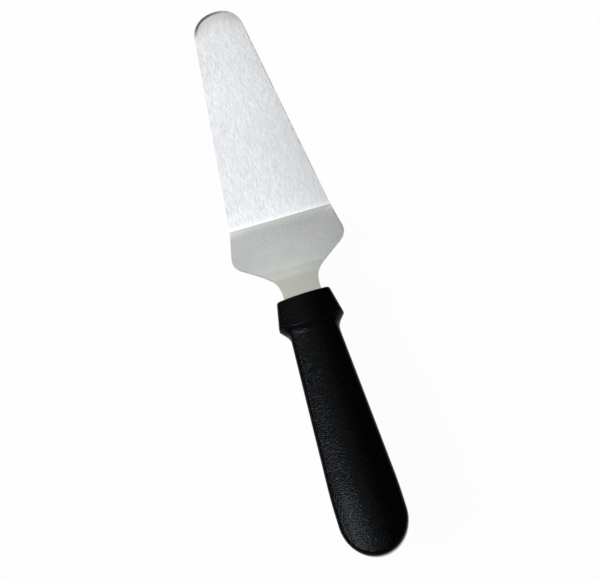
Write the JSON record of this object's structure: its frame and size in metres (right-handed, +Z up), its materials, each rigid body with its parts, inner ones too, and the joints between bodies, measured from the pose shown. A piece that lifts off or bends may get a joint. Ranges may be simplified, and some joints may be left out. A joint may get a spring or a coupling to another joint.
{
  "type": "offset spatula",
  "caption": "Offset serving spatula: a long tapered steel blade, a cranked neck and a moulded black handle with a flared bolster.",
  "frame": {"origin": "On the flat underside of the blade, on its centre line, halfway between the crease and the tip", "axes": "+X across the blade, +Y along the blade towards its tip, +Z up from the surface that the blade lies on"},
  "size_m": [0.0612, 0.3005, 0.0567],
  "materials": {
    "blade_steel": "satin, with a fine grain along the blade",
    "handle_plastic": "fine stippled texture, smoother on the bolster"
  },
  "bodies": {
    "root": {"blade": "blade_steel", "handle": "handle_plastic"}
  },
  "joints": []
}
